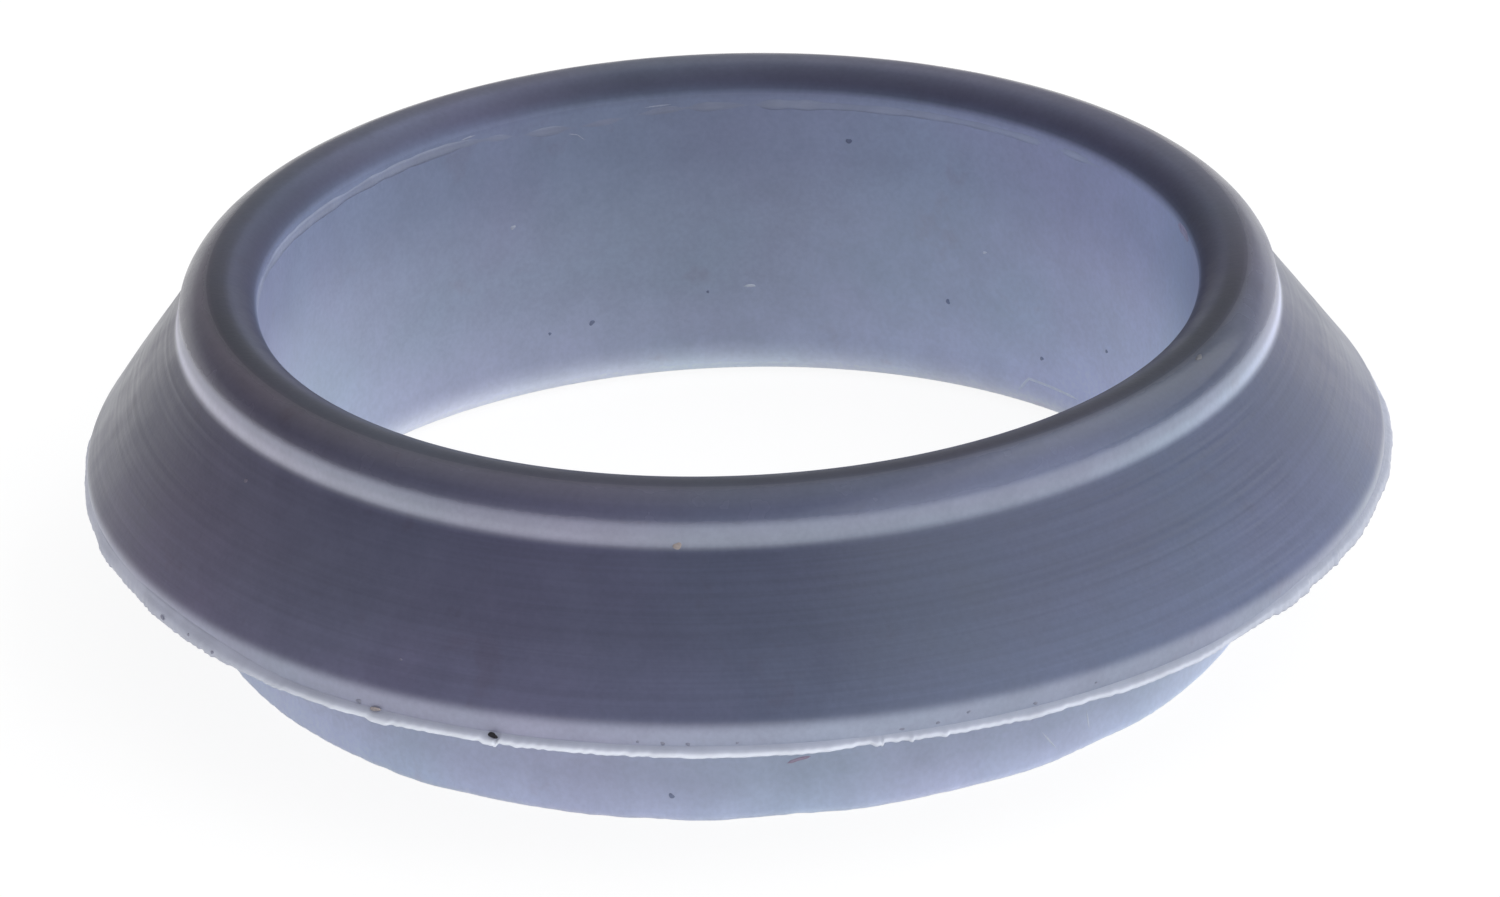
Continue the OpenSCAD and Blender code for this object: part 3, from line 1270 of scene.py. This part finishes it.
        own = (self.root_gain.at(azimuth)[:, None] * SKIN[Zone.LIP].tone(0.0, azimuth))[:, None, :]
        pale = (self.paleness.at(azimuth)[:, None] * share[None, :])[..., None]
        tones = own + (linear(self.pale) - own) * pale
        return sweep("lip_flash", section, azimuth, tones, self.finish.material())


@dataclass
class BoreFlash:
    """The faint broken line of flash just inside the bore's upper edge. Sizes are in millimetres."""

    section: RingSection = RingSection()
    finish: FlashFinish = FlashFinish()
    steps: int = 1440
    height: RoundTable = RoundTable((
        (-180, 6.26), (-172, 6.26), (-164, 6.1), (-155, 6.14), (-146, 6.34), (-135, 6.36), (0, 6.38),
        (135, 6.36), (170, 6.3), (180, 6.26)), 2.0)
    thickness: float = 0.17
    strength: RoundTable = RoundTable((
        (-180, 0.5), (-172.5, 0.8), (-168, 0.4), (-155, 0.6), (-148, 0.5), (-144, 0.9), (-125, 0.9),
        (-105, 1), (-85, 0.7), (-60, 0.3), (0, 0.1), (60, 0.0), (110, 0.0), (130, 0.3), (150, 0.4),
        (164, 0.5), (168, 0.9), (173, 0.7), (176, 0.5), (180, 0.5)), 1.5)
    # Gain of red, green and blue of the paler line, a painted highlight along the flash
    pale: Rgb = (1.2, 1.16, 1.07)
    # How patchy the line is and how far it wanders up and down, each with its counts of waves
    patchiness: float = 0.35
    patch_waves: Waves = (15, 90)
    wander: float = 0.02
    wander_waves: Waves = (3, 16)
    # How far it stands out where it is strong, and sinks where it is gone, and its least thickness
    relief: float = 0.028
    sink: float = 0.004
    thin: float = 0.5
    # How deep it is seated, its foot off the wall, and its flank's place, inset and paleness, which is
    # painted highlight
    seat: float = 0.03
    foot_gap: float = 0.001
    foot_pale: float = 0.1
    flank: float = 0.5
    flank_gap: float = 0.006
    flank_pale: float = 0.6
    seed: int = 37

    def build(self) -> bpy.types.Object:
        """Builds the line as one closed strip that fades into the wall where it is missing.

        Returns:
            The piece.
        """
        azimuth = full_turn(self.steps)
        patches = 1 + self.patchiness * ring_noise(azimuth, self.patch_waves, self.seed)
        strength = np.clip(self.strength.at(azimuth) * patches, 0, 1)
        reach = self.relief * strength - self.sink
        middle = self.height.at(azimuth) + self.wander * ring_noise(azimuth, self.wander_waves, self.seed + 2)
        half = self.thickness / 2 * (self.thin + strength)
        bore = self.section.bore_r
        back, foot, tip = bore + self.seat, bore + self.foot_gap, bore - reach
        section: list[Row] = [
            (back, middle - half, 0.0),
            (back, middle + half, 0.0),
            (foot, middle + half, self.foot_pale),
            (tip + self.flank_gap, middle + half * self.flank, self.flank_pale),
            (tip, middle, 1.0),
            (tip + self.flank_gap, middle - half * self.flank, self.flank_pale),
            (foot, middle - half, self.foot_pale),
        ]
        share = np.array([row[2] for row in section])
        own = SKIN[Zone.BORE].tone(0.0, azimuth)[:, None, :]
        pale = (strength[:, None] * share[None, :])[..., None]
        tones = own * (1 + (np.array(self.pale) - 1) * pale)
        return sweep("bore_flash", section, azimuth, tones, self.finish.material())


@dataclass(frozen=True)
class Speck:
    """A crumb, dot or pit on one of the ring's faces.

    Attributes:
        zone: The face that it lies on.
        azimuth: Its place around the ring in degrees.
        height: Its height in millimetres, or degrees around the arc on the crown.
        length: Its size around the ring in millimetres.
        width: Its size along the section in millimetres.
        out: How far off the face it sits, on flash that covers the face, in millimetres.
    """

    zone: Zone
    azimuth: float
    height: float
    length: float = 0.07
    width: float = 0.06
    out: float = 0.0


@dataclass
class SpeckSet:
    """Specks of one kind, moulded as low crumbs that are seated in the skin."""

    name: str
    finish: MarkFinish
    specks: tuple[Speck, ...]
    specks: tuple[Speck, ...]
    section: RingSection = RingSection()
    relief: float = 0.014
    sides: int = 14
    # Each loop's size against the speck's, and its height over the face in reliefs
    loops: tuple[Pair, ...] = ((1.0, -1.2), (1.0, 0.0), (0.8, 0.65), (0.45, 0.95))
    # How oval and how three-cornered the outline is, and the ranges of their random draws
    oval: float = 0.22
    corners: float = 0.12
    oval_range: Pair = (0.3, 1)
    phase_range: Pair = (0, 6)
    seed: int = 5

    def body(self, speck: Speck, rng: np.random.Generator) -> Body:
        """Builds one speck.

        Args:
            speck: The speck.
            rng: Where its random draws come from.

        Returns:
            Its closed body.
        """
        middle, along = self.section.surface(speck.zone, speck.height)
        outward = np.array([along[1], -along[0]])
        middle = middle + speck.out * outward
        azimuth, turn = math.radians(speck.azimuth), full_turn(self.sides)
        oval = self.oval * np.cos(2 * turn + rng.uniform(*self.phase_range))
        wobble = 1 + oval * rng.uniform(*self.oval_range)
        wobble += self.corners * np.cos(3 * turn + rng.uniform(*self.phase_range))
        points = []
        for share, rise in self.loops:
            side = share * wobble * np.cos(turn) * speck.length / 2
            up = share * wobble * np.sin(turn) * speck.width / 2
            place = middle + up[:, None] * along + rise * self.relief * outward
            points.append(on_ring(place[:, 0], azimuth + side / middle[0], place[:, 1]))
        top = middle + self.relief * outward
        points.append(on_ring(top[:1], np.array([azimuth]), top[1:]))
        faces = ring_faces(len(self.loops), self.sides)[:-self.sides, [0, 3, 2, 1]].tolist()
        last = (len(self.loops) - 1) * self.sides
        faces += [[last + k, last + (k + 1) % self.sides, last + self.sides] for k in range(self.sides)]
        faces.append(list(reversed(range(self.sides))))
        own = SKIN[speck.zone].spot(self.section.span(speck.zone), speck.height, azimuth)
        return np.concatenate(points), faces, np.tile(own, (last + self.sides + 1, 1))

    def build(self) -> bpy.types.Object:
        """Builds every speck of the set in one piece."""
        rng = np.random.default_rng(self.seed)
        return join(self.name, (self.body(speck, rng) for speck in self.specks), self.finish.material())


@dataclass(frozen=True)
class Stroke:
    """A scratch or a line of film that runs over one of the ring's faces.

    Attributes:
        zone: The face that it lies on.
        way: Azimuth in degrees and height in millimetres of each point.
        width: Its full width in millimetres.
        out: How far off the face its start and its end lie, where the face is uneven, in millimetres.
    """

    zone: Zone
    way: Curve
    width: float = 0.03
    out: Pair = (0.0, 0.0)


@dataclass
class StrokeSet:
    """Scratches of one kind, laid on the skin as fine raised threads."""

    name: str
    finish: MarkFinish
    strokes: tuple[Stroke, ...]
    section: RingSection = RingSection()
    relief: float = 0.008
    points_each: int = 28
    # Each point of the thread's section: how many half widths aside, and its height in reliefs
    thread: tuple[Pair, ...] = ((1, -1.0), (1, 0.3), (0, 1.0), (-1, 0.3), (-1, -1.0))
    # How fast the ends widen, and the least share of the width
    taper: float = 3
    thinnest: float = 0.15

    def body(self, stroke: Stroke) -> Body:
        """Builds one stroke.

        Args:
            stroke: The stroke.

        Returns:
            Its closed body.
        """
        way = np.array(stroke.way)
        share = np.linspace(0, len(way) - 1, self.points_each)
        azimuth, height = (np.interp(share, np.arange(len(way)), column) for column in way.T)
        azimuth = np.radians(azimuth)
        ends = np.minimum(share, share[-1] - share)
        half = np.clip(ends * self.taper, self.thinnest, 1) * stroke.width / 2
        radii = np.array([self.section.surface(stroke.zone, float(h))[0][0] for h in height])
        run = np.stack([radii[0] * np.gradient(azimuth), np.gradient(height)], 1)
        run /= np.linalg.norm(run, axis=1)[:, None]
        outward = -1.0 if stroke.zone is Zone.BORE else 1.0
        loop = []
        for side, rise in self.thread:
            radius = radii + np.linspace(*stroke.out, self.points_each) + outward * rise * self.relief
            angle = azimuth - side * run[:, 1] * half / radii[0]
            loop.append(on_ring(radius, angle, height + side * run[:, 0] * half))
        count = len(loop)
        faces = ring_faces(self.points_each, count)[:-count].tolist()
        last = (self.points_each - 1) * count
        faces += [list(range(count)), list(reversed(range(last, last + count)))]
        if outward < 0:
            faces = [face[::-1] for face in faces]
        span = self.section.span(stroke.zone)
        own = [SKIN[stroke.zone].spot(span, float(h), float(a)) for h, a in zip(height, azimuth)]
        return np.stack(loop, 1).reshape(-1, 3), faces, np.repeat(np.array(own), count, axis=0)

    def build(self) -> bpy.types.Object:
        """Builds every stroke of the set in one piece."""
        return join(self.name, (self.body(stroke) for stroke in self.strokes), self.finish.material())


@dataclass(frozen=True)
class Aim:
    """A place seen from the ring: degrees to the right of the front, degrees up, and metres away."""

    azimuth: float
    height: float
    distance: float

    def point(self) -> Vector:
        """Works out the place.

        Returns:
            The place in metres.
        """
        around, over = math.radians(self.azimuth), math.radians(self.height)
        level = math.cos(over)
        return self.distance * Vector((level * math.sin(around), -level * math.cos(around), math.sin(over)))


@dataclass(frozen=True)
class SoftLamp:
    """A soft rectangular lamp.

    Attributes:
        name: Its name.
        place: Where its middle hangs.
        facing: The side from which its face is turned to the ring.
        size: Width and height in metres.
        radiance: How bright its face is, where 1 is white.
        colour: Its tint as a linear colour.
    """

    name: str
    place: Aim
    facing: Aim
    size: Pair
    radiance: float
    colour: Rgb

    def hang(self) -> None:
        """Hangs the lamp."""
        light = bpy.data.lights.new(self.name, "AREA")
        light.shape = "RECTANGLE"
        light.size, light.size_y = self.size
        light.energy = self.radiance * self.size[0] * self.size[1] * math.pi
        light.color = self.colour
        lamp = bpy.data.objects.new(self.name, light)
        lamp.location = self.place.point()
        lamp.rotation_euler = (-self.facing.point()).to_track_quat("-Z", "Y").to_euler()
        bpy.context.scene.collection.objects.link(lamp)


@dataclass(frozen=True)
class PhotoCamera:
    """The camera, at the photograph's viewing angle."""

    # Its angle over the horizon and the lean of the picture, in degrees
    elevation: float = 25.37
    roll: float = 1.90
    # The ring's radius in millimetres and in pixels of the photograph, and how many such radii it is away
    ring_r: float = 13.06
    ring_pixels: float = 645.1
    distance: float = 14
    # Width of the photograph, and how far its middle lies right of the ring's and below it, in pixels
    frame_width: int = 1500
    shift: Pair = (19.6, 16.1)
    middle_z: float = 3.2
    # Width of the sensor in millimetres, and the nearest and furthest that it sees, in metres
    sensor: float = 36.0
    clip: Pair = (0.01, 10)

    def build(self) -> None:
        """Sets the camera up."""
        unit = self.ring_r * MM
        elevation, roll = math.radians(self.elevation), math.radians(self.roll)
        back = Vector((0, -math.cos(elevation), math.sin(elevation)))
        right, up = Vector((1, 0, 0)), Vector((0, math.sin(elevation), math.cos(elevation)))
        across = math.cos(roll) * right - math.sin(roll) * up
        upright = math.sin(roll) * right + math.cos(roll) * up
        aside, below = (pixels / self.ring_pixels * unit for pixels in self.shift)
        aim = Vector((0, 0, self.middle_z * MM)) + across * aside - upright * below
        data = bpy.data.cameras.new("camera")
        data.sensor_width = self.sensor
        data.lens = self.sensor * self.ring_pixels * self.distance / self.frame_width
        data.clip_start, data.clip_end = self.clip
        camera = bpy.data.objects.new("camera", data)
        turn = Matrix((across, upright, back)).transposed().to_4x4()
        turn.translation = aim + back * self.distance * unit
        camera.matrix_world = turn
        bpy.context.scene.collection.objects.link(camera)
        bpy.context.scene.camera = camera


@dataclass
class Studio:
    """The plain pale floor, the soft light around the ring and the camera."""

    floor_size: float = 2.4
    floor_drop: float = 0.002
    floor_shade: Rgb = (250, 250, 251)
    floor_glow: float = 0.91
    shadow_share: float = 0.13
    # How bright the surroundings are at the horizon, half-way up and overhead, and where that changes
    horizon: float = 1.3
    shoulder: float = 0.42
    zenith: float = 0.7
    low_edges: Pair = (0.0, 0.25)
    high_edges: Pair = (0.4, 0.95)
    # How much of that the left side has, and where it starts
    left_share: float = 0.6
    left_edges: Pair = (-0.85, -0.2)
    tent_colour: Rgb = (0.97, 0.98, 1.0)
    front: SoftLamp = SoftLamp(
        "front_lamp", Aim(-8, 9, 0.45), Aim(-8, 9, 0.45), (0.6, 0.12), 0.9, (1.0, 0.99, 0.98))
    right: SoftLamp = SoftLamp(
        "right_lamp", Aim(64, 38.5, 0.376), Aim(91, 42, 0.35), (0.85, 0.33), 1.6, (0.97, 0.985, 1.0))
    camera: PhotoCamera = PhotoCamera()

    def build(self) -> None:
        """Sets up the floor, the world, the lamps and the camera."""
        self.floor()
        self.world()
        self.front.hang()
        self.right.hang()
        self.camera.build()

    def floor(self) -> None:
        """Lays the floor, which looks white to the camera and keeps the ring's shadow."""
        half = self.floor_size / 2
        corners = [(-half, -half), (half, -half), (half, half), (-half, half)]
        mesh = bpy.data.meshes.new("floor")
        mesh.from_pydata([(x, y, -self.floor_drop * MM) for x, y in corners], [], [(0, 1, 2, 3)])
        floor = bpy.data.objects.new("floor", mesh)
        bpy.context.scene.collection.objects.link(floor)
        material, board = new_material("floor_white")
        lit = board.add("ShaderNodeBsdfDiffuse", {"Color": rgba(self.floor_shade)}).outputs[0]
        thin = board.add("ShaderNodeBsdfDiffuse", {"Color": (*(self.shadow_share,) * 3, 1.0)}).outputs[0]
        glow = board.add("ShaderNodeEmission", {"Color": WHITE, "Strength": self.floor_glow}).outputs[0]
        white = board.add("ShaderNodeAddShader", {0: thin, 1: glow}).outputs[0]
        ray = board.add("ShaderNodeLightPath").outputs
        through = board.sum("MAXIMUM", ray["Is Glossy Ray"], ray["Is Transmission Ray"])
        seen = board.sum("MAXIMUM", ray["Is Camera Ray"], through)
        mixed = board.add("ShaderNodeMixShader", {0: seen, 1: lit, 2: white}).outputs[0]
        board.add("ShaderNodeOutputMaterial", {"Surface": mixed})
        mesh.materials.append(material)

    def world(self) -> None:
        """Makes the surroundings, which are white to the camera and light the ring unevenly."""
        world = bpy.data.worlds.new("soft_tent")
        bpy.context.scene.world = world
        board = fresh_board(world)
        way = board.add("ShaderNodeTexCoord").outputs["Generated"]
        axes = board.add("ShaderNodeSeparateXYZ", {0: way}).outputs
        low = board.ease(axes[2], self.low_edges, (self.horizon, self.shoulder))
        high = board.ease(axes[2], self.high_edges, (0.0, self.shoulder - self.zenith))
        left = board.ease(axes[0], self.left_edges, (self.left_share, 1.0))
        level = board.sum("MULTIPLY", board.sum("SUBTRACT", low, high), left)
        light = {"Color": (*self.tent_colour, 1.0), "Strength": level}
        tent = board.add("ShaderNodeBackground", light).outputs[0]
        white = board.add("ShaderNodeBackground", {"Color": WHITE, "Strength": 1.0}).outputs[0]
        seen = board.add("ShaderNodeLightPath").outputs["Is Camera Ray"]
        mixed = board.add("ShaderNodeMixShader", {0: seen, 1: tent, 2: white}).outputs[0]
        board.add("ShaderNodeOutputWorld", {"Surface": mixed})


DARK_DIRT = MarkFinish("dark_dirt", (0.4, 0.42, 0.52), (0.5, 0.52, 0.6))
# The lip's pit is a raised crumb painted black, as painted shade of a hollow
PIT_PAINTED_SHADE = MarkFinish("pit_painted_shade", (0.012, 0.01, 0.014), (0.03, 0.026, 0.032), 0.8)
BROWN_DIRT = MarkFinish("brown_dirt", (1.15, 0.95, 0.72), (0.95, 0.8, 0.64))
RIM_BROWN = MarkFinish("rim_brown", (2.0, 1.75, 1.3), (1.5, 1.35, 1.1))
GREY_DIRT = MarkFinish("grey_dirt", (0.62, 0.62, 0.66), (0.76, 0.74, 0.74))
PALE_CRUMB = MarkFinish("pale_crumb", (1.7, 1.6, 1.4), (1.4, 1.35, 1.25))
RED_DIRT = MarkFinish("red_dirt", (0.98, 0.82, 0.84), (0.9, 0.72, 0.76))
RED_SMEAR = MarkFinish("red_smear", (0.86, 0.6, 0.66), (0.95, 0.74, 0.78))
FILM_PALE = MarkFinish("film_pale", (1.3, 1.25, 1.15), (1.22, 1.18, 1.1))
RED_SCRATCH = (Stroke(Zone.COLLAR, ((4.77, 1.197), (6.0, 1.27), (7.25, 1.306)), 0.07),)
RIM_SMEAR = (Stroke(Zone.BORE, ((98.6, 6.46), (101.2, 6.47), (103.8, 6.45)), 0.2),)
LIP_PIT = (Speck(Zone.LIP, -21.23, 2.8, 0.2, 0.11, 0.12),)
RIM_SPECK = (Speck(Zone.CROWN, 60.04, 66.0, 0.24, 0.1),)
BLUE_DIRT_SPECKS = (
    Speck(Zone.BORE, 197.64, 1.608, 0.13, 0.13),
    Speck(Zone.BORE, 203.40, 1.537, 0.08, 0.08),
    Speck(Zone.BORE, 182.40, 2.041, 0.07, 0.07),
    Speck(Zone.BORE, 163.77, 5.545, 0.12, 0.12),
    Speck(Zone.BORE, 150.59, 2.178, 0.11, 0.10),
    Speck(Zone.BORE, 136.20, 1.438, 0.10, 0.09),
    Speck(Zone.BORE, 124.04, 2.266, 0.09, 0.08),
    Speck(Zone.COLLAR, -7.13, 0.57, 0.11, 0.10, 0.055),
)
GREY_SPECKS = (
    Speck(Zone.LIP, -58.7, 2.84, 0.11, 0.09, 0.14),
    Speck(Zone.LIP, -54.5, 2.84, 0.07, 0.06, 0.125),
    Speck(Zone.LIP, -50.8, 2.79, 0.08, 0.07, 0.165),
    Speck(Zone.LIP, -34.2, 2.87, 0.13, 0.10),
    Speck(Zone.LIP, -8.9, 2.88, 0.06, 0.06),
    Speck(Zone.LIP, -6.8, 2.86, 0.10, 0.07),
    Speck(Zone.LIP, -4.7, 2.85, 0.09, 0.08),
    Speck(Zone.LIP, -0.6, 2.87, 0.06, 0.05),
    Speck(Zone.LIP, 13.2, 2.87, 0.10, 0.07),
    Speck(Zone.LIP, 16.3, 2.89, 0.09, 0.07),
    Speck(Zone.LIP, 19.0, 3.0, 0.09, 0.06),
    Speck(Zone.LIP, 25.1, 2.87, 0.10, 0.07),
    Speck(Zone.LIP, 31.0, 2.95, 0.06, 0.05),
)
BROWN_SPECKS = (
    Speck(Zone.NECK, -5.69, 6.111, 0.17, 0.16),
    Speck(Zone.LIP, -32.4, 2.83, 0.24, 0.08, 0.06),
)
PALE_SPECKS = (
    Speck(Zone.CONE, -56.05, 5.55, 0.10, 0.09),
    Speck(Zone.CONE, -30.7, 3.79, 0.06, 0.05),
    Speck(Zone.BORE, 144.99, 3.507, 0.11, 0.06),
    Speck(Zone.BORE, 207.93, 4.168, 0.11, 0.11),
    Speck(Zone.BORE, 176.99, 2.151, 0.30, 0.06),
)
FILM_STROKES = (
    Stroke(Zone.BORE, ((140.58, 0.44), (138.43, 0.867), (134.0, 0.85), (129.91, 0.818)), 0.06),
    Stroke(Zone.COLLAR, ((39.0, 0.91), (39.6, 0.41)), 0.04, (-0.03, -0.083)),
    Stroke(Zone.COLLAR, ((32.9, 0.83), (35.0, 0.3)), 0.04, (-0.004, -0.022)),
)
PALE_STROKES = (
    Stroke(Zone.BORE, ((215.4, 6.45), (213.2, 6.47)), 0.04),
    Stroke(Zone.BORE, ((200.1, 6.007), (198.9, 5.95), (197.9, 5.80)), 0.03),
    Stroke(Zone.BORE, ((190.0, 6.36), (186.6, 6.38)), 0.04),
)


def main() -> None:
    """Builds the gasket's pieces in order, then the studio, and reports each."""
    bpy.context.scene.view_settings.view_transform = "Standard"
    makers = (
        MouldedRing(),
        LipFlash(),
        BoreFlash(),
        SpeckSet("blue_dirt", DARK_DIRT, BLUE_DIRT_SPECKS),
        SpeckSet("lip_pit", PIT_PAINTED_SHADE, LIP_PIT, seed=8),
        SpeckSet("brown_specks", BROWN_DIRT, BROWN_SPECKS, seed=9),
        SpeckSet("rim_speck", RIM_BROWN, RIM_SPECK, seed=14),
        SpeckSet("grey_specks", GREY_DIRT, GREY_SPECKS, seed=12),
        StrokeSet("rim_smear", RED_DIRT, RIM_SMEAR),
        SpeckSet("pale_specks", PALE_CRUMB, PALE_SPECKS, seed=10),
        StrokeSet("red_scratch", RED_SMEAR, RED_SCRATCH),
        StrokeSet("pale_scratches", PALE_CRUMB, PALE_STROKES),
        StrokeSet("film_strokes", FILM_PALE, FILM_STROKES),
    )
    for maker in makers:
        piece = maker.build()
        log.info("%s: %d faces", piece.name, len(piece.data.polygons))
    Studio().build()
    log.info("studio: floor, world, lamps and camera")


if __name__ == "__main__":
    main()
